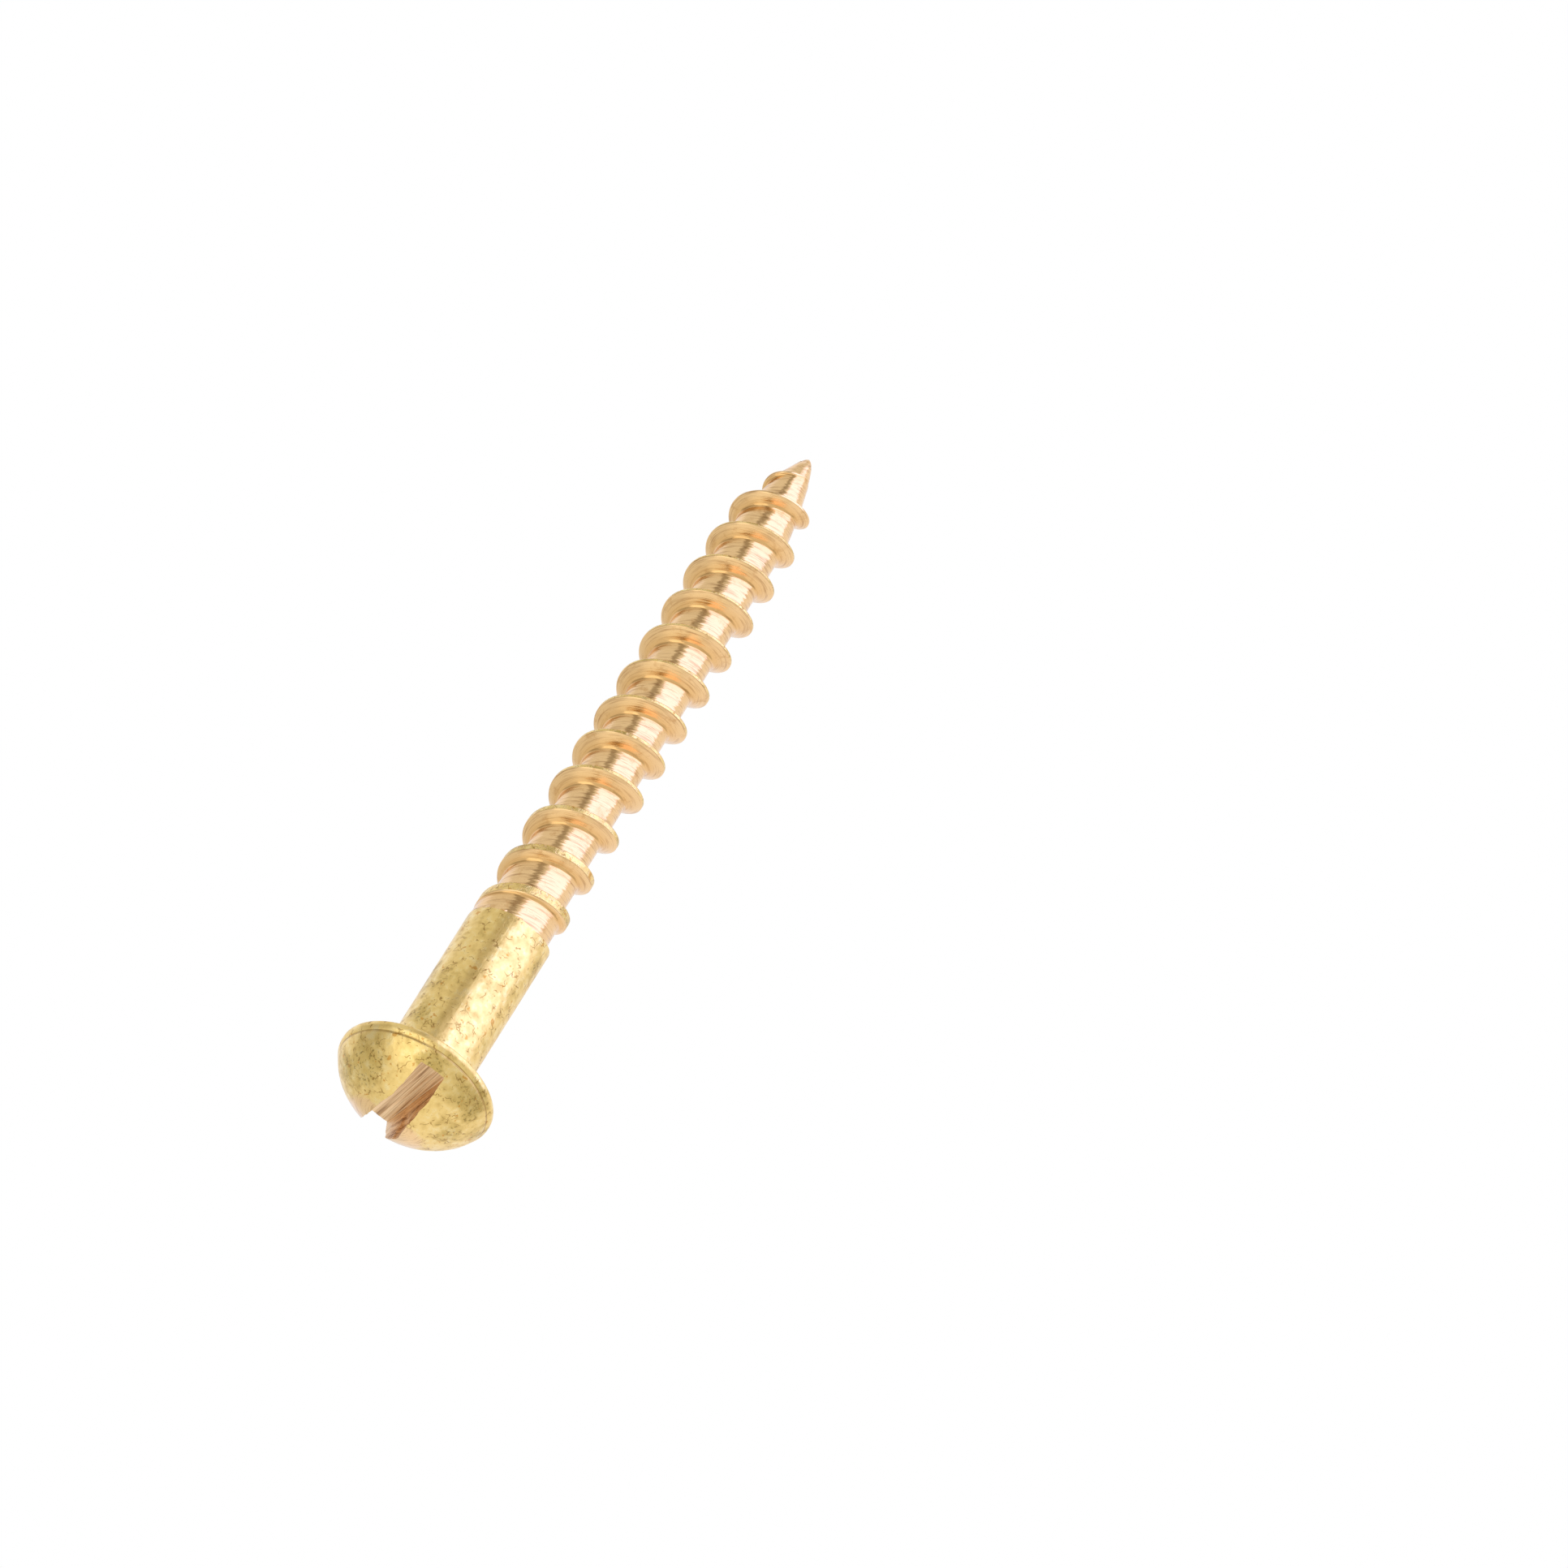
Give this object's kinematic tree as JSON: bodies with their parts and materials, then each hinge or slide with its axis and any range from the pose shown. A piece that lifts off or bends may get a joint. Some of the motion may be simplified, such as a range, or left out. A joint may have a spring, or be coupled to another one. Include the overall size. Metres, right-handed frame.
{
  "type": "wood screw",
  "caption": "Slotted round-head wood screw in solid brass, with a plain shank and a coarse right-hand thread that runs to a pointed tip.",
  "frame": {"origin": "centre of the head's flat underside, on the screw's axis, where the head bears on the work", "axes": "+Z along the axis from the point towards the head, +X along the driver slot, +Y across the slot"},
  "size_m": [0.0076, 0.0076, 0.0426],
  "materials": {
    "brass": "plain yellow brass: as-drawn skin on head and shank, freshly cut in the thread and the slot"
  },
  "bodies": {
    "root": {"screw": "brass"}
  },
  "joints": []
}
